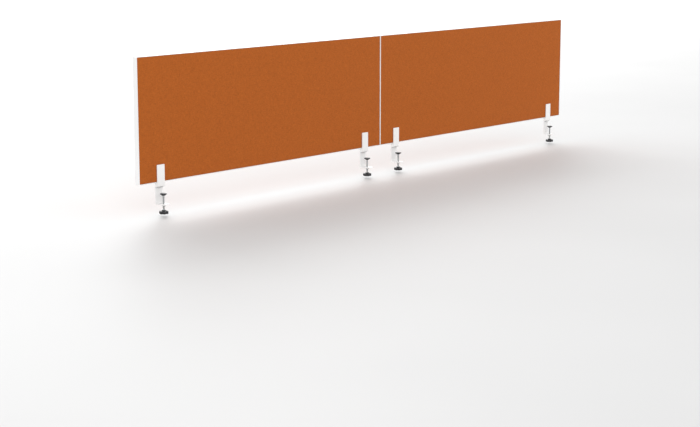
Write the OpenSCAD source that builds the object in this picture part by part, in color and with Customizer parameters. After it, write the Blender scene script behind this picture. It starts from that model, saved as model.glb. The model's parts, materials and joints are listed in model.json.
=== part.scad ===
// Desk privacy panel: two fabric screens in slim metal frames stand end to end along a
// back-to-back bench. Four clamp brackets hold them over the gap between the desktops.
// X runs along the bench, Y across it with the viewer's side negative, Z is up.
// The origin is the middle of the run on the plane of the desktops' upper surface.

/* [Run] */
// Length of the whole run, end to end
run_w = 3000; // [1800:10:3600]
// Clear gap between the two framed sections
seam_gap = 1; // [0.6:0.2:4]
// Height of the panel's underside above the desktop
underside_z = 20; // [16:0.5:40]

/* [Framed section] */
// Overall height of a section
panel_h = 506; // [300:1:800]
// Overall thickness of a section
panel_t = 24; // [22:0.5:30]
// Width of the frame edge that shows round the fabric
lip = 2; // [2:0.1:6]
// Wall thickness of the frame's outer web
web_t = 1.6; // [1.2:0.1:2.4]
// Wall thickness of the frame's visible legs
leg_t = 1.2; // [1:0.1:1.6]
// Depth of the two inner ribs that hold the core board and the corner keys
rib_depth = 11; // [9:0.5:14]
// Radius on the frame's outer edges
edge_r = 0.8; // [0.4:0.1:1]

/* [Infill] */
// Thickness of the core board's tongue
tongue_t = 9; // [8:0.5:10]
// Depth of the cloth's face below the frame's face
cloth_recess = 0.4; // [0.2:0.1:1]
// Thickness of the cloth
cloth_t = 1; // [0.6:0.1:1.4]

/* [Brackets] */
// Distance from a section's ends to the middle of each bracket
bracket_inset = 113; // [60:1:300]
// Width of a bracket along the run
bracket_w = 40; // [30:1:60]
// Height of the cheeks above the desktop
cheek_h = 91; // [60:1:120]
// Thickness of the folded steel
steel_t = 3; // [2:0.5:4]
// Inner radius of the folds
fold_r = 2; // [1:0.5:3]
// Thickness of the rubber and felt pads
pad_t = 1; // [0.8:0.1:2]
// Distance that a pressure plate draws back from the panel
pinch_travel = 3; // [1:0.5:3]

/* [Desk clamp] */
// Thickness of the desktop that the clamp is set for
desk_t = 25; // [18:1:30]
// Gap between the two desktops
desk_gap = 8; // [7:1:20]
// Depth of the lower jaw's upper face below the desktop's surface
jaw_z = 67; // [60:1:90]
// Distance of the clamp spindle in front of the panel's middle plane
spindle_y = 28; // [24:1:34]
// Radius of the clamp spindle
spindle_r = 4; // [4:0.5:5]
// Radius of the clamp's pressure pad
clamp_pad_r = 14; // [10:0.5:16]
// Radius of the clamp's hand knob over its lobes
knob_r = 19; // [15:0.5:24]

/* [Hidden] */
$fn = 48;
SIDES = ["left", "right"];
SECTION_PIECES = ["top_rail", "bottom_rail", "outer_stile", "inner_stile", "corner_keys",
                  "core_board", "front_foam", "rear_foam", "front_fabric", "rear_fabric"];
BRACKET_PIECES = ["strap", "cradle", "pads", "nuts", "pressure_plate", "pressure_pad",
                  "thumb_screw", "clamp_spindle", "clamp_knob", "clamp_pad"];

white_coat = "white";
cloth_orange = "#b0602a";
raw_steel = "silver";

// Running room between solids that move against each other
play = 0.3;
// Room round a turning shaft in its bore, on the radius
bore_play = 0.06;
// Room between solids that are fitted into each other and stay put
fit_gap = 0.1;

// Section, worked out
section_w = (run_w - seam_gap) / 2;
section_x = (section_w + seam_gap) / 2;
section_z = underside_z + panel_h / 2;
rib_t = 1.2;
slot_t = tongue_t + 0.4;
rib_y = slot_t / 2 + rib_t;
mitre_depth = rib_depth + 1;
key_leg = 45;
key_in = web_t + 0.2;
key_out = rib_depth - 0.2;
tongue_in = 2;
core_in = rib_depth + 0.4;
cloth_in = lip + play;
cloth_face_y = panel_t / 2 - cloth_recess;
cloth_return_y = rib_y + 1;

// Bracket, worked out
bracket_x = [-section_x - section_w / 2 + bracket_inset, -section_x + section_w / 2 - bracket_inset,
             section_x - section_w / 2 + bracket_inset, section_x + section_w / 2 - bracket_inset];
front_y = panel_t / 2 + play + pad_t;            // inner face of the front cheek
floor_top = underside_z - play - pad_t;          // upper face of the cradle's floor
plate_t = 2;
boss_len = 2;
plate_y = panel_t / 2 + play + pad_t;            // front face of the pressure plate
boss_end = plate_y + plate_t + boss_len;
rear_y = boss_end + pinch_travel + 0.7;          // inner face of the rear cheek
plate_w = bracket_w - 4;
plate_z = [underside_z + 6, cheek_h - 5];
screw_z = (plate_z[0] + plate_z[1]) / 2;
screw_r = 3;
point_r = 2.5;
head_r = 10;
head_len = 10;
screw_end = rear_y + steel_t + 22;
tongue_y = 1 - desk_gap / 2;                     // tongue's near face, 1 mm inside the gap
foot_edge = tongue_y - fold_r;                   // where the foot's flat underside ends
foot_top = pad_t + steel_t;                      // upper face of the foot
gusset_t = 3;
arm_end = spindle_y + 18;
nut_h = 6.5;
spindle_top = desk_t + 4.3;
knob_top = jaw_z + steel_t + nut_h + 15;
knob_h = 16;
lobes = 6;

// ---- shared shapes ----

// Frame section: x across the panel, y outward with the outer face at 0
module edge_profile() {
    square_at(-panel_t / 2 + edge_r, -web_t, panel_t / 2 - edge_r, 0);
    for (s = [-1, 1]) {
        translate([s * (panel_t / 2 - edge_r), -edge_r]) circle(r = edge_r);
        if (s < 0) square_at(-panel_t / 2, -lip, -panel_t / 2 + leg_t, -edge_r);
        else square_at(panel_t / 2 - leg_t, -lip, panel_t / 2, -edge_r);
        square_at(s * rib_y - (s > 0 ? rib_t : 0), -rib_depth, s * rib_y + (s < 0 ? rib_t : 0), -web_t / 2);
    }
}

module square_at(x0, y0, x1, y1) {
    translate([x0, y0]) square([x1 - x0, y1 - y0]);
}

// One mitred length of frame, outward face up at z = 0
module frame_bar(length) {
    intersection() {
        rotate([90, 0, 90]) linear_extrude(height = length, center = true) edge_profile();
        rotate([90, 0, 0]) linear_extrude(height = panel_t + 2, center = true)
            polygon([[-length / 2 + fit_gap, 0], [length / 2 - fit_gap, 0],
                     [length / 2 - fit_gap - mitre_depth, -mitre_depth],
                     [-length / 2 + fit_gap + mitre_depth, -mitre_depth]]);
    }
}

// Rectangular slab set in from a section's outline, between two depths across it
module slab(inset, y0, y1) {
    translate([-section_w / 2 + inset, min(y0, y1), -panel_h / 2 + inset])
        cube([section_w - 2 * inset, abs(y1 - y0), panel_h - 2 * inset]);
}

// Quarter fold between two straight runs of strip. The fold's centre is at the 2D origin.
module fold(quadrant) {
    rotate(90 * quadrant) difference() {
        intersection() {
            circle(r = fold_r + steel_t);
            square(fold_r + steel_t);
        }
        circle(r = fold_r);
    }
}

// Strip drawn in the Y-Z plane, extruded along the run
module strip(width) {
    rotate([90, 0, 90]) linear_extrude(height = width, center = true) children();
}

module hex_nut(r, across, h) {
    difference() {
        cylinder(d = across / cos(30), h = h, $fn = 6);
        translate([0, 0, -1]) cylinder(r = r, h = h + 2);
    }
}

// ---- framed section ----

module top_rail() { color(white_coat) translate([0, 0, panel_h / 2]) frame_bar(section_w); }

module bottom_rail() { color(white_coat) rotate([0, 180, 0]) translate([0, 0, panel_h / 2]) frame_bar(section_w); }

// s is -1 for the stile at the low-X end and 1 for the other
module stile(s) {
    color(white_coat) rotate([0, 90 * s, 0]) translate([0, 0, section_w / 2]) frame_bar(panel_h);
}

// Cast angle keys in the four corners of the frame's slot
module corner_keys() {
    color(raw_steel) for (sx = [-1, 1]) for (sz = [-1, 1])
        translate([sx * section_w / 2, 0, sz * panel_h / 2]) rotate([90, 0, 0])
            linear_extrude(height = tongue_t - 0.2, center = true) from_corner(sx, sz)
                polygon([[key_in, key_in], [key_leg, key_in], [key_leg, key_out],
                         [key_out, key_out], [key_out, key_leg], [key_in, key_leg]]);
}

// Mirrors an outline that runs up from the low corner so that it runs inward from any corner
module from_corner(sx, sz) {
    mirror([sx > 0 ? 1 : 0, 0]) mirror([0, sz > 0 ? 1 : 0]) children();
}

// Board with a thin tongue in the frame's slot, notched round the corner keys
module core_board() {
    notch = key_leg + 1;
    color("burlywood") union() {
        slab(core_in, -rib_y + fit_gap / 2, rib_y - fit_gap / 2);
        difference() {
            slab(tongue_in, -tongue_t / 2, tongue_t / 2);
            for (sx = [-1, 1]) for (sz = [-1, 1])
                translate([sx * (section_w / 2 - notch / 2), 0, sz * (panel_h / 2 - notch / 2)])
                    cube([notch, tongue_t + 2, notch], center = true);
        }
    }
}

module foam(s) {
    color("gainsboro") slab(cloth_in + cloth_t + fit_gap, s * (rib_y + fit_gap), s * (cloth_face_y - cloth_t - fit_gap));
}

// Cloth stretched over the foam with its edges turned in
module fabric(s) {
    color(cloth_orange) difference() {
        slab(cloth_in, s * cloth_return_y, s * cloth_face_y);
        slab(cloth_in + cloth_t, s * (cloth_return_y - 1), s * (cloth_face_y - cloth_t));
    }
}

module section_piece(side, piece) {
    s = side == "left" ? -1 : 1;
    translate([s * section_x, 0, section_z]) {
        if (piece == "top_rail") top_rail();
        if (piece == "bottom_rail") bottom_rail();
        if (piece == "outer_stile") stile(s);
        if (piece == "inner_stile") stile(-s);
        if (piece == "corner_keys") corner_keys();
        if (piece == "core_board") core_board();
        if (piece == "front_foam") foam(-1);
        if (piece == "rear_foam") foam(1);
        if (piece == "front_fabric") fabric(-1);
        if (piece == "rear_fabric") fabric(1);
    }
}

// ---- bracket ----

// Cuts that round the two upper corners of a cheek whose middle plane is at y
module upper_corner_cuts(y) {
    r = 2.5;
    for (s = [-1, 1]) translate([s * (bracket_w / 2 - r), y, cheek_h - r]) rotate([90, 0, 0])
        linear_extrude(height = steel_t + 2, center = true) difference() {
            square_at(s > 0 ? 0 : -r - 1, 0, s > 0 ? r + 1 : 0, r + 1);
            circle(r = r);
        }
}

// One folded strip: front cheek, foot on the desktop, tongue through the gap, lower jaw
module strap() {
    color(white_coat) difference() {
        strip(bracket_w) {
            square_at(-front_y - steel_t, foot_top + fold_r, -front_y, cheek_h);
            translate([-front_y + fold_r, foot_top + fold_r]) fold(2);
            square_at(-front_y + fold_r, pad_t, foot_edge, foot_top);
            translate([foot_edge, pad_t - fold_r]) fold(0);
            square_at(tongue_y, -jaw_z + fold_r, tongue_y + steel_t, pad_t - fold_r);
            translate([foot_edge, -jaw_z + fold_r]) fold(3);
            square_at(-arm_end, -jaw_z - steel_t, foot_edge, -jaw_z);
        }
        upper_corner_cuts(-front_y - steel_t / 2);
        translate([0, -spindle_y, -jaw_z - steel_t - 1]) cylinder(r = spindle_r + 0.5, h = steel_t + 2);
    }
}

// Welded behind the front cheek: a floor under the panel, the rear cheek, and two gussets
// that stand on the foot with their lower corners clipped to clear the folds
module cradle() {
    color(white_coat) difference() {
        union() {
            strip(bracket_w) {
                square_at(-front_y, floor_top - steel_t, rear_y - fold_r, floor_top);
                translate([rear_y - fold_r, floor_top + fold_r]) fold(3);
                square_at(rear_y, floor_top + fold_r, rear_y + steel_t, cheek_h);
            }
            for (s = [-1, 1]) translate([s * (bracket_w - gusset_t) / 2, 0, 0]) strip(gusset_t)
                polygon([[-front_y, foot_top + fold_r], [-front_y + fold_r, foot_top], [foot_edge, foot_top],
                         [0, foot_top + fold_r], [0, floor_top - steel_t / 2], [-front_y, floor_top - steel_t / 2]]);
        }
        upper_corner_cuts(rear_y + steel_t / 2);
        translate([0, rear_y - 1, screw_z]) rotate([-90, 0, 0]) cylinder(r = screw_r + 0.4, h = steel_t + 2);
    }
}

// Felt on the front cheek, rubber on the cradle's floor and under the foot
module pads() {
    color("dimgray") {
        translate([-plate_w / 2, -front_y, plate_z[0]]) cube([plate_w, pad_t, plate_z[1] - plate_z[0]]);
        translate([-plate_w / 2, -front_y, floor_top]) cube([plate_w, 2 * front_y, pad_t]);
        translate([-plate_w / 2, -front_y + fold_r, 0]) cube([plate_w, foot_edge + front_y - fold_r, pad_t]);
    }
}

// Weld nuts for the thumb screw and the clamp spindle
module nuts() {
    color(raw_steel) {
        translate([0, rear_y + steel_t, screw_z]) rotate([-90, 0, 0]) hex_nut(screw_r + bore_play, 10, 5);
        translate([0, -spindle_y, -jaw_z - steel_t - nut_h]) hex_nut(spindle_r + bore_play, 13, nut_h);
    }
}

module pressure_plate() {
    color(raw_steel) difference() {
        union() {
            translate([-plate_w / 2, plate_y, plate_z[0]]) cube([plate_w, plate_t, plate_z[1] - plate_z[0]]);
            translate([0, plate_y + plate_t / 2, screw_z]) rotate([-90, 0, 0]) cylinder(r = 6, h = plate_t / 2 + boss_len);
        }
        translate([0, plate_y + 0.6, screw_z]) rotate([-90, 0, 0]) cylinder(r = point_r + bore_play, h = 10);
    }
}

module pressure_pad() {
    color("dimgray") translate([-plate_w / 2, plate_y - pad_t, plate_z[0]])
        cube([plate_w, pad_t, plate_z[1] - plate_z[0]]);
}

// Dog point, threaded shank and scalloped head
module thumb_screw() {
    shank_y = boss_end + play;
    color(raw_steel) translate([0, 0, screw_z]) rotate([-90, 0, 0]) {
        translate([0, 0, plate_y + 0.9]) cylinder(r = point_r, h = shank_y - plate_y);
        translate([0, 0, shank_y]) cylinder(r = screw_r, h = screw_end - shank_y - head_len / 2);
        translate([0, 0, screw_end - head_len]) difference() {
            cylinder(r = head_r, h = head_len);
            for (a = [0:30:330]) rotate(a) translate([head_r + 1.2, 0, -1]) cylinder(r = 2, h = head_len + 2);
        }
    }
}

module clamp_spindle() {
    color(raw_steel) translate([0, -spindle_y, -knob_top - knob_h + 3])
        cylinder(r = spindle_r, h = knob_top + knob_h - 3 - spindle_top);
}

// Star knob with a blind bore for the spindle
module clamp_knob() {
    color("dimgray") translate([0, -spindle_y, -knob_top - knob_h]) difference() {
        union() {
            cylinder(r = knob_r - 4, h = knob_h - 4);
            cylinder(r = knob_r / 2, h = knob_h);
            for (i = [0:lobes - 1]) rotate(i * 360 / lobes) translate([knob_r - 5.5, 0, 0]) cylinder(r = 5.5, h = knob_h - 4);
        }
        translate([0, 0, 2.9]) cylinder(r = spindle_r + 0.02, h = knob_h);
    }
}

// Swivel pad that presses up against the desktop's underside
module clamp_pad() {
    pad_h = 8;
    color("dimgray") translate([0, -spindle_y, -desk_t - pad_h]) difference() {
        union() {
            translate([0, 0, pad_h - 4]) cylinder(r = clamp_pad_r, h = 4);
            cylinder(r = 8, h = pad_h - 3);
        }
        translate([0, 0, -1]) cylinder(r = spindle_r + bore_play, h = pad_h - 3);
    }
}

module bracket_piece(index, piece) {
    translate([bracket_x[index - 1], 0, 0]) {
        if (piece == "strap") strap();
        if (piece == "cradle") cradle();
        if (piece == "pads") pads();
        if (piece == "nuts") nuts();
        if (piece == "pressure_plate") pressure_plate();
        if (piece == "pressure_pad") pressure_pad();
        if (piece == "thumb_screw") thumb_screw();
        if (piece == "clamp_spindle") clamp_spindle();
        if (piece == "clamp_knob") clamp_knob();
        if (piece == "clamp_pad") clamp_pad();
    }
}

for (s = SIDES) for (p = SECTION_PIECES)
    section_piece(s, p);
for (b = [1:4]) for (p = BRACKET_PIECES)
    bracket_piece(b, p);
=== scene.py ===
import json
import math

import bmesh
import bpy
from mathutils import Matrix, Vector


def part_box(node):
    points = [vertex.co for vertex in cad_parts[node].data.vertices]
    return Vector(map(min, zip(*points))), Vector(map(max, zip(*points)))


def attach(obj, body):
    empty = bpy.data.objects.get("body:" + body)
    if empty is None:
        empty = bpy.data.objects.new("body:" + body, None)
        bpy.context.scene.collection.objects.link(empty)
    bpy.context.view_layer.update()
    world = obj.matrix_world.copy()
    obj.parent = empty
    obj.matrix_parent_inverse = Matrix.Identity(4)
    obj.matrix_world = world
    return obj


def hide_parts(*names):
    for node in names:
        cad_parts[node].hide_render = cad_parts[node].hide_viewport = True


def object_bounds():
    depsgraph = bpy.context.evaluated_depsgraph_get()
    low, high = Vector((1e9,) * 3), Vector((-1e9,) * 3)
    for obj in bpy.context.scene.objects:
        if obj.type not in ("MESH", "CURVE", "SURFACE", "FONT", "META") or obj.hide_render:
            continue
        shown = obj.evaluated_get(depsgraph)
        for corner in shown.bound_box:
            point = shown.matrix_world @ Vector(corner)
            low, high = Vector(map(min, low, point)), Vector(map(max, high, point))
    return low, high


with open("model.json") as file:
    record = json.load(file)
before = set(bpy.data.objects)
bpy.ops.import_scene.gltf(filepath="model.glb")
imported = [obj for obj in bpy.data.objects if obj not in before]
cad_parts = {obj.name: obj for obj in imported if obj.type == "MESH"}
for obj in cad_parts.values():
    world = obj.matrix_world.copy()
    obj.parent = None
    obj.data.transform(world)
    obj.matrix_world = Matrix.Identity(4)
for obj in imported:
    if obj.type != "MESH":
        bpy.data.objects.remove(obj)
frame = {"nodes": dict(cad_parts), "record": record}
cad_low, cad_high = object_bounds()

MM = 0.001
SIDES = ("left", "right")
FACES = (("front", -1), ("rear", 1))
BRACKETS = (1, 2, 3, 4)

# Mesh fineness
SHARP_ANGLE = math.radians(38)
RINGS_PER_PITCH = 6
ARC_STEPS = 5
WALL_STEPS = 2
SAME_POINT = 0.001 * MM
SAME_CORNER = 0.002 * MM
STEEL_EASE = 0.35 * MM

# The studio floor lies below the knobs even with the clamps fully open
CLAMP_OPENS = 10 * MM
FLOOR_CLEAR = 0.5 * MM

# Soft parts
CLOTH_THICK = 0.9 * MM
CLOTH_EDGE = 2.0 * MM
CLOTH_GRID = 14 * MM
CLOTH_SWELL = 0.3 * MM
CLOTH_FRAMES = 20
FOAM_EDGE = 2.5 * MM
FOAM_GRID = 30 * MM
FOAM_CROWN = 0.15 * MM
PAD_EDGE = 0.45 * MM
PAD_GRID = 4 * MM

# Screws: root and crest radius, and pitch
CLAMP_THREAD = (3.40 * MM, 3.97 * MM, 1.25 * MM)
PINCH_THREAD = (2.50 * MM, 2.97 * MM, 1.00 * MM)
STEEL_SIDES = 24

# Bores of the nuts and the swivel pad, a little wider than the threads
CLAMP_BORE = 4.05 * MM
PINCH_BORE = 3.05 * MM


# ---------------------------------------------------------------- camera and stage

CAMERA_AT = Vector((-5.8726, -4.8103, 1.0823))
CAMERA_LOOKS = Vector((0.75021, 0.63638, -0.17948))
CAMERA_LENS = 85.05
CAMERA_SENSOR = 36.0

FLOOR_SIZE = 60
WORLD_STRENGTH = 0.95
# Name, place, what it points at, size, power in watts
LIGHTS = (
    ("key", (-7.5, -8.0, 5.5), (0, 0, 0.3), (4.5, 3.6), 205),
    ("fill", (4.6, -4.0, 2.6), (0.3, 0, 0.3), (3.0, 2.0), 20),
    ("rear", (-1.5, 5.6, 3.6), (0, 0, 0.3), (4.0, 2.0), 24),
    ("far_floor", (9.0, 13.0, 7.0), (8.0, 10.0, 0), (14.0, 10.0), 2000),
)


def make_camera():
    data = bpy.data.cameras.new("camera")
    data.lens = CAMERA_LENS
    data.sensor_width = CAMERA_SENSOR
    data.clip_start, data.clip_end = 0.05, 100
    camera = bpy.data.objects.new("camera", data)
    camera.location = CAMERA_AT
    camera.rotation_mode = "QUATERNION"
    camera.rotation_quaternion = CAMERA_LOOKS.to_track_quat("-Z", "Y")
    bpy.context.scene.collection.objects.link(camera)
    bpy.context.scene.camera = camera


def area_light(name, at, towards, size, power):
    data = bpy.data.lights.new(name, "AREA")
    data.shape = "RECTANGLE"
    data.size, data.size_y = size
    data.energy = power
    light = bpy.data.objects.new(name, data)
    light.location = at
    light.rotation_mode = "QUATERNION"
    light.rotation_quaternion = (Vector(towards) - Vector(at)).to_track_quat("-Z", "Y")
    bpy.context.scene.collection.objects.link(light)


def make_stage():
    floor_z = cad_low.z - CLAMP_OPENS - FLOOR_CLEAR
    bpy.ops.mesh.primitive_plane_add(size=FLOOR_SIZE, location=(0, 0, floor_z))
    floor = bpy.context.object
    floor.name = "studio_floor"
    floor.data.materials.append(floor_paint())

    world = bpy.data.worlds.new("studio")
    bpy.context.scene.world = world
    world.use_nodes = True
    sky = world.node_tree.nodes["Background"]
    sky.inputs["Color"].default_value = (1, 1, 1, 1)
    sky.inputs["Strength"].default_value = WORLD_STRENGTH
    for light in LIGHTS:
        area_light(*light)
    bpy.context.scene.view_settings.view_transform = "Standard"


# ---------------------------------------------------------------- material helpers


class Nodes:
    """A short way to build a material's node tree."""

    def __init__(self, name):
        self.material = bpy.data.materials.new(name)
        self.material.use_nodes = True
        self.tree = self.material.node_tree
        self.shader = self.tree.nodes["Principled BSDF"]
        self.place = self.add("ShaderNodeTexCoord").outputs["Object"]

    def add(self, kind, **settings):
        node = self.tree.nodes.new(kind)
        for key, value in settings.items():
            setattr(node, key, value)
        return node

    def link(self, source, target):
        self.tree.links.new(source, target)

    def feed(self, socket, value):
        """Links an output, or sets a constant."""
        if isinstance(value, bpy.types.NodeSocket):
            self.link(value, socket)
        else:
            socket.default_value = value

    def math(self, operation, a, b=0.0):
        node = self.add("ShaderNodeMath", operation=operation)
        self.feed(node.inputs[0], a)
        self.feed(node.inputs[1], b)
        return node.outputs[0]

    def scaled(self, scale, place=None):
        """The piece's own coordinates in metres, times a scale along each axis."""
        node = self.add("ShaderNodeVectorMath", operation="MULTIPLY")
        self.link(place or self.place, node.inputs[0])
        node.inputs[1].default_value = scale
        return node.outputs[0]

    def axes(self, place=None):
        node = self.add("ShaderNodeSeparateXYZ")
        self.link(place or self.place, node.inputs[0])
        return node.outputs

    def noise(self, size, detail=3.0, rough=0.5, place=None):
        """Noise whose grains are about `size` metres across."""
        node = self.add("ShaderNodeTexNoise")
        self.link(place or self.place, node.inputs["Vector"])
        node.inputs["Scale"].default_value = 1 / size
        node.inputs["Detail"].default_value = detail
        node.inputs["Roughness"].default_value = rough
        return node.outputs[0]

    def ramp(self, value, low, high, to_low=0.0, to_high=1.0):
        node = self.add("ShaderNodeMapRange")
        self.feed(node.inputs["Value"], value)
        node.inputs["From Min"].default_value = low
        node.inputs["From Max"].default_value = high
        node.inputs["To Min"].default_value = to_low
        node.inputs["To Max"].default_value = to_high
        return node.outputs[0]

    def mix(self, amount, a, b):
        node = self.add("ShaderNodeMix", data_type="RGBA")
        self.feed(node.inputs[0], amount)
        self.feed(node.inputs[6], a)
        self.feed(node.inputs[7], b)
        return node.outputs[2]

    def bump(self, height, distance, strength=1.0, onto=None):
        node = self.add("ShaderNodeBump")
        self.link(height, node.inputs["Height"])
        node.inputs["Distance"].default_value = distance
        node.inputs["Strength"].default_value = strength
        if onto:
            self.link(onto, node.inputs["Normal"])
        return node.outputs[0]

    def surface(self, **inputs):
        for key, value in inputs.items():
            self.feed(self.shader.inputs[key.replace("_", " ")], value)
        return self.material


def linear(red, green, blue):
    """A colour given in sRGB from 0 to 255, as the linear colour that a shader takes."""
    steps = [c / 255 for c in (red, green, blue)]
    return tuple(c / 12.92 if c <= 0.04045 else ((c + 0.055) / 1.055) ** 2.4 for c in steps) + (1.0,)


# ---------------------------------------------------------------- materials


def floor_paint():
    n = Nodes("floor_paint")
    tone = n.ramp(n.noise(1.5, 2), 0.3, 0.7, 0.0, 1.0)
    colour = n.mix(tone, linear(207, 207, 207), linear(211, 211, 211))
    return n.surface(Base_Color=colour, Roughness=0.6)


def powder_coat(name, light, dark):
    """White powder coat: a fine orange peel, a faint drift in tone and uneven gloss."""
    n = Nodes(name)
    drift = n.ramp(n.noise(0.16, 3), 0.35, 0.65)
    colour = n.mix(drift, dark, light)
    gloss = n.ramp(n.noise(0.03, 4, 0.6), 0.3, 0.7, 0.34, 0.46)
    peel = n.bump(n.noise(1.1 * MM, 2, 0.45), 0.05 * MM, 0.5)
    return n.surface(Base_Color=colour, Roughness=gloss, Normal=peel)


def woven_cloth(name, base, deep, warm, pitch=1.2 * MM):
    """Plain weave of heathered yarn, with painted shade darkening the gaps between the yarns. Warp runs
    up the screen and weft along it.
    """
    n = Nodes(name)
    wander = n.ramp(n.noise(14 * MM, 2), 0, 1, -0.3 * pitch, 0.3 * pitch)
    x, y, z = n.axes()
    sin_x = n.math("SINE", n.math("MULTIPLY", n.math("ADD", x, wander), math.pi / pitch))
    sin_z = n.math("SINE", n.math("MULTIPLY", n.math("ADD", z, wander), math.pi / pitch))
    warp_over = n.math("MULTIPLY", n.math("SIGN", sin_x), sin_z)
    weft_over = n.math("MULTIPLY", n.math("SIGN", sin_z), sin_x)
    warp = n.math("MULTIPLY", n.math("ABSOLUTE", sin_x), n.ramp(warp_over, -1, 1, 0.25, 1.0))
    weft = n.math("MULTIPLY", n.math("ABSOLUTE", sin_z), n.ramp(weft_over, 1, -1, 0.25, 1.0))
    weave = n.math("MAXIMUM", warp, weft)
    yarn = n.bump(weave, 0.30 * MM, 0.7)
    hairs = n.bump(n.noise(0.30 * MM, 3, 0.7), 0.10 * MM, 0.6, onto=yarn)

    streak_warp = n.noise(1.0, 3, 0.6, n.scaled((520, 520, 70)))
    streak_weft = n.noise(1.0, 3, 0.6, n.scaled((70, 520, 520)))
    heather = n.math("ADD", n.math("MULTIPLY", streak_warp, 0.5), n.math("MULTIPLY", streak_weft, 0.5))
    tint = n.mix(n.ramp(heather, 0.38, 0.62), deep, base)
    tint = n.mix(n.ramp(n.noise(9 * MM, 4, 0.65), 0.40, 0.66, 0.0, 0.6), tint, warm)
    # Painted shade: the low places between the yarns are mixed towards a deep brown, which stands in for
    # the shade that falls there
    painted_gap_shade = n.ramp(weave, 0.1, 0.9, 0.28, 0.0)
    tint = n.mix(painted_gap_shade, tint, (0.09, 0.020, 0.004, 1))
    return n.surface(
        Base_Color=tint, Roughness=0.9, Sheen_Weight=0.06, Sheen_Roughness=0.5,
        Sheen_Tint=(1.0, 0.6, 0.35, 1), Specular_IOR_Level=0.2, Normal=hairs,
    )


def felt(name, light, dark, grain):
    """Matted fibre or open foam."""
    n = Nodes(name)
    fibre = n.noise(grain, 5, 0.7)
    colour = n.mix(n.ramp(fibre, 0.3, 0.7), dark, light)
    return n.surface(Base_Color=colour, Roughness=0.95, Normal=n.bump(fibre, 0.4 * grain, 0.8))


def raw_board():
    """Chips of wood, longer along the run than across it."""
    n = Nodes("raw_board")
    chips = n.noise(1.0, 5, 0.7, n.scaled((90, 400, 260)))
    colour = n.mix(n.ramp(chips, 0.3, 0.7), linear(150, 118, 78), linear(205, 176, 130))
    return n.surface(Base_Color=colour, Roughness=0.8, Normal=n.bump(chips, 0.2 * MM, 0.5))


def rubber():
    """Dark grey rubber with a fine grain, also used for the felt."""
    n = Nodes("grey_rubber_look")
    grain = n.noise(0.5 * MM, 3, 0.6)
    colour = n.mix(n.ramp(n.noise(12 * MM, 3), 0.3, 0.7), linear(58, 58, 60), linear(76, 76, 78))
    return n.surface(Base_Color=colour, Roughness=0.75, Normal=n.bump(grain, 0.06 * MM, 0.6))


def zinc():
    """Bright zinc plate with faint turning marks and a yellow-blue cast."""
    n = Nodes("zinc_steel_look")
    cast = n.ramp(n.noise(6 * MM, 3), 0.3, 0.7)
    colour = n.mix(cast, linear(198, 196, 188), linear(190, 196, 204))
    scuff = n.noise(0.8 * MM, 4, 0.7)
    gloss = n.ramp(scuff, 0.3, 0.7, 0.22, 0.42)
    marks = n.bump(scuff, 0.02 * MM, 0.5)
    return n.surface(Base_Color=colour, Metallic=1.0, Roughness=gloss, Normal=marks)


def cast_metal():
    """Rough grey casting, for the corner keys."""
    n = Nodes("cast_key_look")
    grain = n.noise(0.9 * MM, 4, 0.7)
    colour = n.mix(n.ramp(grain, 0.3, 0.7), linear(150, 151, 154), linear(182, 183, 186))
    pits = n.bump(grain, 0.1 * MM, 0.6)
    return n.surface(Base_Color=colour, Metallic=0.9, Roughness=0.55, Normal=pits)


def moulded_plastic():
    """Black plastic with the fine sparkle that a textured mould leaves."""
    n = Nodes("black_plastic_look")
    spark = n.noise(0.45 * MM, 2, 0.5)
    drift = n.ramp(n.noise(10 * MM, 3), 0.3, 0.7)
    colour = n.mix(drift, linear(34, 34, 36), linear(44, 44, 46))
    gloss = n.ramp(n.noise(4 * MM, 3), 0.3, 0.7, 0.42, 0.55)
    return n.surface(Base_Color=colour, Roughness=gloss, Normal=n.bump(spark, 0.05 * MM, 0.6))


def make_looks():
    return {
        "frame_white": powder_coat("frame_white_look", linear(252, 252, 251), linear(248, 248, 247)),
        "bracket_white": powder_coat("bracket_white_look", linear(250, 249, 248), linear(245, 244, 243)),
        "orange_fabric": woven_cloth(
            "orange_fabric_look", linear(202, 109, 39), linear(164, 84, 28), linear(190, 98, 33)
        ),
        "acoustic_foam": felt(
            "acoustic_foam_look", linear(222, 221, 218), linear(188, 187, 184), 1.2 * MM
        ),
        "core_board": raw_board(),
        "cast_keys": cast_metal(),
        "grey_rubber": rubber(),
        "zinc_steel": zinc(),
        "black_plastic": moulded_plastic(),
    }


def paint_cad_nodes(looks):
    """Gives every CAD node its slot's look."""
    slots = {s["node"]: s["material_slot"] for s in frame["record"]["subparts"]}
    for name, node in frame["nodes"].items():
        node.data.materials.clear()
        node.data.materials.append(looks[slots[name]])


# ---------------------------------------------------------------- mesh helpers


def facing(centre, outward):
    """Places a flat piece's own x, y and z so that z points outward from `centre`."""
    w = Vector(outward)
    v = Vector((0, 0, 1)) if abs(w.z) < 0.5 else Vector((0, 1, 0))
    place = Matrix((v.cross(w), v, w)).transposed().to_4x4()
    place.translation = centre
    return place


def finish_piece(name, bm, slot, body, *replaced):
    """Turns a bmesh into a piece that rides on its body, with its slot's look."""
    bmesh.ops.recalc_face_normals(bm, faces=bm.faces[:])
    mesh = bpy.data.meshes.new(name)
    bm.to_mesh(mesh)
    bm.free()
    mesh.polygons.foreach_set("use_smooth", [True] * len(mesh.polygons))
    mesh.set_sharp_from_angle(angle=SHARP_ANGLE)
    mesh.materials.append(LOOKS[slot])
    piece = bpy.data.objects.new(name, mesh)
    bpy.context.scene.collection.objects.link(piece)
    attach(piece, body)
    if replaced:
        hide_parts(*replaced)
    return piece


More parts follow.
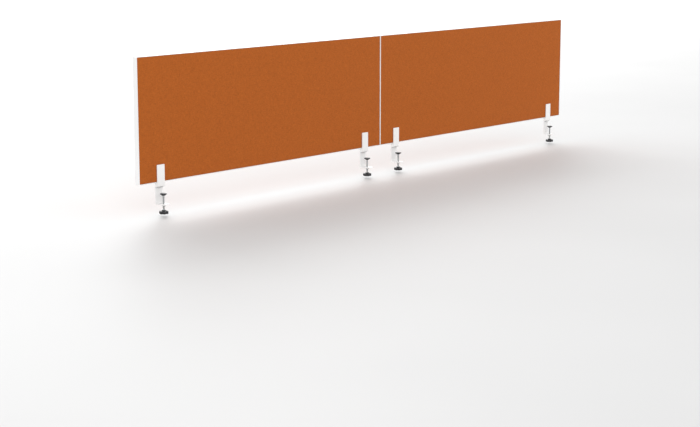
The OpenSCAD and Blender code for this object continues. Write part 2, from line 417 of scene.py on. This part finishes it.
def add_rings(bm, place, rings, sides, hollow=False):
    """Skins a stack of rings about the local z axis. A ring is (height, radius), and the radius is
    a number or a function of the angle. The ends are capped, or joined to each other if hollow."""
    loops = []
    for height, radius in rings:
        loop = []
        for i in range(sides):
            angle = math.tau * i / sides
            r = radius(angle) if callable(radius) else radius
            loop.append(bm.verts.new(place @ Vector((r * math.cos(angle), r * math.sin(angle), height))))
        loops.append(loop)
    pairs = list(zip(loops, loops[1:]))
    if hollow:
        pairs.append((loops[-1], loops[0]))
    for low_loop, high_loop in pairs:
        for i in range(sides):
            j = (i + 1) % sides
            bm.faces.new((low_loop[i], low_loop[j], high_loop[j], high_loop[i]))
    if not hollow:
        bm.faces.new(loops[0][::-1])
        bm.faces.new(loops[-1])


def thread_rings(root, crest, pitch, start, end):
    """Rings of a right-hand thread that runs out over one pitch at both ends."""

    def tooth(height):
        fade = min(1.0, (height - start) / pitch, (end - height) / pitch)

        def radius(angle):
            turn = (height / pitch - angle / math.tau) % 1.0
            share = min(1.0, max(0.0, (0.42 - abs(turn - 0.5)) / 0.30))
            return root + (crest - root) * share * fade

        return radius

    steps = round((end - start) / pitch * RINGS_PER_PITCH)
    heights = [start + (end - start) * i / steps for i in range(steps + 1)]
    return [(height, tooth(height)) for height in heights]


def stations(half, radius, wall, spacing):
    """Where the grid lines of a wrapped sheet lie on one axis: the place on the flat face, and
    the length of cloth beyond its edge."""
    edge = half - radius
    count = max(1, round(2 * edge / spacing))
    flat = [(-edge + 2 * edge * i / count, 0.0) for i in range(count + 1)]
    quarter = radius * math.pi / 2
    beyond = [quarter * (i + 1) / ARC_STEPS for i in range(ARC_STEPS)]
    beyond += [quarter + wall * (i + 1) / WALL_STEPS for i in range(WALL_STEPS)]
    return [(-edge, -b) for b in reversed(beyond)] + flat + [(edge, b) for b in beyond]


def wrapped_point(u, v, radius):
    """A grid point of a sheet that is wrapped over a slab with rounded edges and corners."""
    reach = max(abs(u[1]), abs(v[1]))
    if reach == 0:
        return Vector((u[0], v[0], 0))
    turn = min(reach / radius, math.pi / 2)
    out = radius * math.sin(turn) * Vector((u[1], v[1])).normalized()
    drop = radius * (1 - math.cos(turn)) + max(0.0, reach - radius * math.pi / 2)
    return Vector((u[0] + out.x, v[0] + out.y, -drop))


def add_wrapped(bm, place, size, depth, radius, spacing, crown=0.0, closed=True):
    """A sheet wrapped over a slab, and with `closed` the slab itself. Returns the points that
    lie beyond the rounded edge."""
    lines = [stations(side / 2, radius, depth - radius, spacing) for side in size]
    grid, held = [], []
    for v in lines[1]:
        row = []
        for u in lines[0]:
            point = wrapped_point(u, v, radius)
            swell = (1 - abs(2 * point.x / size[0]) ** 6) * (1 - abs(2 * point.y / size[1]) ** 6)
            point.z += crown * max(0.0, swell)
            row.append(bm.verts.new(place @ point))
            if max(abs(u[1]), abs(v[1])) > radius:
                held.append(row[-1])
        grid.append(row)
    for below, above in zip(grid, grid[1:]):
        for i in range(len(below) - 1):
            bm.faces.new((below[i], below[i + 1], above[i + 1], above[i]))
    if closed:
        right, left = [row[-1] for row in grid], [row[0] for row in grid]
        bm.faces.new((grid[0] + right[1:-1] + grid[-1][::-1] + left[-2:0:-1])[::-1])
    return held


def solid_boxes(node):
    """The box of each separate solid in a CAD node, lowest first."""
    bm = bmesh.new()
    bm.from_mesh(frame["nodes"][node].data)
    bmesh.ops.remove_doubles(bm, verts=bm.verts[:], dist=SAME_POINT)
    todo, boxes = set(bm.verts), []
    while todo:
        island, edge = set(), [todo.pop()]
        while edge:
            vert = edge.pop()
            island.add(vert)
            near = {link.other_vert(vert) for link in vert.link_edges} & todo
            todo -= near
            edge.extend(near)
        places = [vert.co for vert in island]
        boxes.append(tuple(Vector(pick(p[i] for p in places) for i in range(3)) for pick in (min, max)))
    bm.free()
    return sorted(boxes, key=lambda box: (box[0].z + box[1].z))


def soft_slab(name, box, outward, radius, spacing, crown, slot, body, *replaced):
    """A pad that fills a box: flat at the back, rounded and slightly crowned in front."""
    low_corner, high_corner = box
    span = high_corner - low_corner
    middle = (low_corner + high_corner) / 2
    direction = Vector(outward)
    depth = abs(span.dot(direction))
    place = facing(middle + direction * depth / 2, outward)
    size = [abs((place.to_3x3().transposed() @ span)[i]) for i in range(2)]
    bm = bmesh.new()
    add_wrapped(bm, place, size, depth, radius, spacing, crown)
    return finish_piece(name, bm, slot, body, *replaced)


# ---------------------------------------------------------------- screens


def stretch_cloth(piece, held):
    """Cloth simulation: the held edges stay, and the foam's push swells the face a little."""
    group = piece.vertex_groups.new(name="held")
    group.add(held, 1.0, "REPLACE")
    cloth = piece.modifiers.new("stretch", "CLOTH")
    settings = cloth.settings
    settings.quality = 5
    settings.mass = 0.4
    settings.tension_stiffness = settings.compression_stiffness = 40
    settings.shear_stiffness = 15
    settings.bending_stiffness = 2
    settings.vertex_group_mass = group.name
    settings.use_pressure = True
    settings.uniform_pressure_force = 4
    settings.effector_weights.gravity = 0
    cloth.collision_settings.use_collision = False
    scene = bpy.context.scene
    cloth.point_cache.frame_start, cloth.point_cache.frame_end = 1, CLOTH_FRAMES
    for step in range(1, CLOTH_FRAMES + 1):
        scene.frame_set(step)
    moved = piece.evaluated_get(bpy.context.evaluated_depsgraph_get()).data
    before = [vert.co.copy() for vert in piece.data.vertices]
    after = [vert.co.copy() for vert in moved.vertices]
    piece.modifiers.remove(cloth)
    piece.vertex_groups.remove(group)
    scene.frame_set(1)
    for vert, start, end in zip(piece.data.vertices, before, after):
        push = end - start
        if push.length > 0:
            vert.co = start + push.normalized() * CLOTH_SWELL * math.tanh(push.length / CLOTH_SWELL)


def fabric_cover(side, face, sign):
    """A sheet of cloth stretched over the foam, with its edges turned in behind the frame."""
    node = f"{side}_{face}_fabric"
    low_corner, high_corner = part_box(node)
    span = high_corner - low_corner
    middle = (low_corner + high_corner) / 2
    middle.y += sign * span.y / 2
    bm = bmesh.new()
    held = add_wrapped(
        bm, facing(middle, (0, sign, 0)), (span.x, span.z), span.y, CLOTH_EDGE, CLOTH_GRID, closed=False
    )
    bm.verts.index_update()
    held = [vert.index for vert in held]
    cover = finish_piece(f"{side}_{face}_cover", bm, "orange_fabric", f"{side}_screen", node)
    stretch_cloth(cover, held)
    skin = cover.modifiers.new("thickness", "SOLIDIFY")
    skin.thickness = CLOTH_THICK
    skin.offset = -1


def foam_pad(side, face, sign):
    node = f"{side}_{face}_foam"
    pad = soft_slab(
        f"{node}_pad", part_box(node), (0, sign, 0), FOAM_EDGE, FOAM_GRID, FOAM_CROWN,
        "acoustic_foam", f"{side}_screen", node,
    )


# ---------------------------------------------------------------- brackets


def node_centre(node):
    low_corner, high_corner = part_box(node)
    return (low_corner + high_corner) / 2


def bracket_pads(index):
    """Felt inside the front cheek, rubber under the screen and under the foot."""
    node = f"bracket_{index}_pads"
    foot, floor, cheek = solid_boxes(node)
    for name, box, outward in (
        ("foot_rubber", foot, (0, 0, -1)),
        ("floor_rubber", floor, (0, 0, 1)),
        ("cheek_felt", cheek, (0, 1, 0)),
    ):
        pad = soft_slab(
            f"bracket_{index}_{name}", box, outward, PAD_EDGE, PAD_GRID, 0,
            "grey_rubber", "brackets", node,
        )


def pressure_pad(index):
    node = f"bracket_{index}_pressure_pad"
    pad = soft_slab(
        f"{node}_rubber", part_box(node), (0, -1, 0), PAD_EDGE, PAD_GRID, 0,
        "grey_rubber", f"pinch_plate_{index}", node,
    )


def clamp_spindle(index):
    """M8 spindle: threaded from the knob up, with a plain neck that turns in the swivel pad."""
    node = f"bracket_{index}_clamp_spindle"
    low_corner, high_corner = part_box(node)
    length = high_corner.z - low_corner.z
    root, crest, pitch = CLAMP_THREAD
    neck = 7 * MM
    centre = node_centre(node)
    centre.z = low_corner.z
    rings = [(0, root - 0.5 * MM)]
    rings += thread_rings(root, crest, pitch, 0.6 * MM, length - neck)
    rings += [(length - neck + 0.4 * MM, root), (length - 0.8 * MM, root), (length, root - 0.8 * MM)]
    bm = bmesh.new()
    add_rings(bm, Matrix.Translation(centre), rings, STEEL_SIDES)
    finish_piece(f"{node}_threaded", bm, "zinc_steel", f"clamp_screw_{index}", node)


def thumb_screw(index):
    """M6 thumb screw: dog point, thread, and a scalloped head with chamfered rims."""
    node = f"bracket_{index}_thumb_screw"
    low_corner, high_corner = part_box(node)
    length = high_corner.y - low_corner.y
    head_r = (high_corner.x - low_corner.x) / 2
    head_len, point_len, point_r = 10 * MM, 3.4 * MM, 2.45 * MM
    scallops, scallop_r, scallop_at = 12, 2.0 * MM, head_r + 1.2 * MM
    chamfer = 0.7 * MM
    root, crest, pitch = PINCH_THREAD

    def head(inset):
        def radius(angle):
            swing = math.tau / scallops
            off = (angle + swing / 2) % swing - swing / 2
            reach = scallop_r ** 2 - (scallop_at * math.sin(off)) ** 2
            cut = scallop_at * math.cos(off) - math.sqrt(reach) if reach > 0 else head_r
            return min(cut, head_r) - inset

        return radius

    back = length - head_len
    rings = [(0, point_r - 0.5 * MM), (0.5 * MM, point_r), (point_len - 0.3 * MM, point_r)]
    rings += thread_rings(root, crest, pitch, point_len, back - 1.2 * MM)
    rings += [
        (back - 0.8 * MM, crest), (back, crest + 0.8 * MM), (back, head_r - 3 * MM),
        (back + 0.2 * MM, head(chamfer)), (back + 0.2 * MM + chamfer, head(0)),
        (length - chamfer, head(0)), (length, head(chamfer)),
        (length, head_r - 3.2 * MM), (length - 0.5 * MM, head_r - 3.7 * MM),
    ]
    centre = node_centre(node)
    centre.y = low_corner.y
    bm = bmesh.new()
    add_rings(bm, facing(centre, (0, 1, 0)), rings, 6 * scallops)
    finish_piece(f"{node}_threaded", bm, "zinc_steel", f"pinch_screw_{index}", node)


def star_knob(index):
    """Moulded knob: lobes blended into a round body, soft rims and a raised hub."""
    node = f"bracket_{index}_clamp_knob"
    low_corner, high_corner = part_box(node)
    knob_r = (high_corner.y - low_corner.y) / 2
    height = high_corner.z - low_corner.z
    lobes, lobe_r, blend = 6, 5.5 * MM, 1.4 * MM
    lobe_at = (high_corner.x - low_corner.x) / 2 - lobe_r
    body_r, hub_r, bore_r = lobe_at + 1.5 * MM, knob_r / 2, 4.0 * MM
    rim = height - 4 * MM

    def outline(inset):
        def radius(angle):
            swing = math.tau / lobes
            off = (angle + swing / 2) % swing - swing / 2
            reach = lobe_r ** 2 - (lobe_at * math.sin(off)) ** 2
            lobe = lobe_at * math.cos(off) + math.sqrt(reach) if reach > 0 else 0.0
            gap = abs(lobe - body_r)
            ease = max(0.0, blend - gap) ** 2 / (4 * blend)
            return max(lobe, body_r) + ease - inset

        return radius

    rings = [
        (1.2 * MM, 5.0 * MM), (1.2 * MM, 9.0 * MM), (0.5 * MM, 9.8 * MM), (0, 10.8 * MM),
        (0, outline(2.0 * MM)), (0.3 * MM, outline(1.1 * MM)),
        (0.9 * MM, outline(0.4 * MM)), (1.9 * MM, outline(0)),
        (rim / 2, outline(0)), (rim - 2.6 * MM, outline(0)),
        (rim - 1.2 * MM, outline(0.45 * MM)), (rim - 0.35 * MM, outline(1.4 * MM)),
        (rim, outline(2.8 * MM)), (rim + 0.2 * MM, hub_r + 1.4 * MM),
        (rim + 0.8 * MM, hub_r + 0.3 * MM), (rim + 1.8 * MM, hub_r - 0.2 * MM),
        (height - 0.8 * MM, hub_r - 0.5 * MM), (height - 0.2 * MM, hub_r - 0.9 * MM),
        (height, hub_r - 1.6 * MM), (height, bore_r + 0.9 * MM),
        (height - 0.6 * MM, bore_r + 0.3 * MM), (height - 2.5 * MM, bore_r),
    ]
    centre = node_centre(node)
    centre.z = low_corner.z
    bm = bmesh.new()
    add_rings(bm, Matrix.Translation(centre), rings, 20 * lobes)
    finish_piece(f"{node}_moulded", bm, "black_plastic", f"clamp_screw_{index}", node)


def swivel_pad(index):
    """Moulded foot of the clamp, with grip rings on the face that meets the desktop."""
    node = f"bracket_{index}_clamp_pad"
    low_corner, high_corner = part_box(node)
    pad_r = (high_corner.x - low_corner.x) / 2
    height = high_corner.z - low_corner.z
    neck_r, bore_r = 7.8 * MM, CLAMP_BORE
    disc = height - 4 * MM
    rings = [
        (height - 3.2 * MM, bore_r), (0.5 * MM, bore_r), (0, bore_r + 0.5 * MM),
        (0, neck_r - 0.6 * MM), (0.6 * MM, neck_r),
        (disc - 1.2 * MM, neck_r), (disc - 0.4 * MM, neck_r + 0.4 * MM),
        (disc, neck_r + 1.4 * MM), (disc + 0.2 * MM, pad_r - 0.9 * MM), (disc + 0.9 * MM, pad_r),
        (height - 0.7 * MM, pad_r), (height, pad_r - 0.7 * MM),
    ]
    for ring in range(4):
        edge = pad_r - (2.2 + 2.6 * ring) * MM
        rings += [
            (height, edge), (height - 0.35 * MM, edge - 0.35 * MM),
            (height - 0.35 * MM, edge - 0.75 * MM), (height, edge - 1.1 * MM),
        ]
    centre = node_centre(node)
    centre.z = low_corner.z
    bm = bmesh.new()
    add_rings(bm, Matrix.Translation(centre), rings, 56)
    finish_piece(f"{node}_moulded", bm, "black_plastic", f"clamp_foot_{index}", node)


def hexagon(corner_r):
    """The outline of a nut whose corners are `corner_r` from its axis."""
    flat_r = corner_r * math.cos(math.pi / 6)

    def radius(angle):
        off = (angle + math.pi / 6) % (math.pi / 3) - math.pi / 6
        return min(flat_r / math.cos(math.pi / 6 - abs(off)), corner_r)

    return radius


def weld_nuts(index):
    """Hexagon nuts with chamfered corners on both faces."""
    node = f"bracket_{index}_nuts"
    lower, upper = solid_boxes(node)
    fall = 0.55 * MM
    bm = bmesh.new()
    for box, axis, bore_r in ((lower, (0, 0, -1), CLAMP_BORE), (upper, (0, 1, 0), PINCH_BORE)):
        span = box[1] - box[0]
        direction = Vector(axis)
        height = abs(span.dot(direction))
        corner_r = span.x / 2
        centre = (box[0] + box[1]) / 2 - direction * height / 2
        cap_r = corner_r * math.cos(math.pi / 6)
        rings = [
            (0.5 * MM, bore_r), (0, bore_r + 0.5 * MM),
            (0, cap_r - 0.2 * MM), (fall, hexagon(corner_r)),
            (height - fall, hexagon(corner_r)), (height, cap_r - 0.2 * MM),
            (height, bore_r + 0.5 * MM), (height - 0.5 * MM, bore_r),
        ]
        add_rings(bm, facing(centre, axis), rings, 72, hollow=True)
    finish_piece(f"{node}_chamfered", bm, "zinc_steel", "brackets", node)


def ease_edges(node, width):
    """Rounds the sharp edges of a CAD part a little, as paint and deburring leave them."""
    part = frame["nodes"][node]
    weld = part.modifiers.new("weld", "WELD")
    weld.merge_threshold = SAME_CORNER
    bevel = part.modifiers.new("edges", "BEVEL")
    bevel.width = width
    bevel.segments = 2
    bevel.limit_method = "ANGLE"
    bevel.angle_limit = math.radians(40)
    bevel.harden_normals = False


make_camera()
LOOKS = make_looks()
paint_cad_nodes(LOOKS)
for side in SIDES:
    for face, sign in FACES:
        foam_pad(side, face, sign)
        fabric_cover(side, face, sign)
for index in BRACKETS:
    bracket_pads(index)
    pressure_pad(index)
    clamp_spindle(index)
    thumb_screw(index)
    star_knob(index)
    swivel_pad(index)
    weld_nuts(index)
    for part in ("strap", "cradle", "pressure_plate"):
        ease_edges(f"bracket_{index}_{part}", STEEL_EASE)
make_stage()
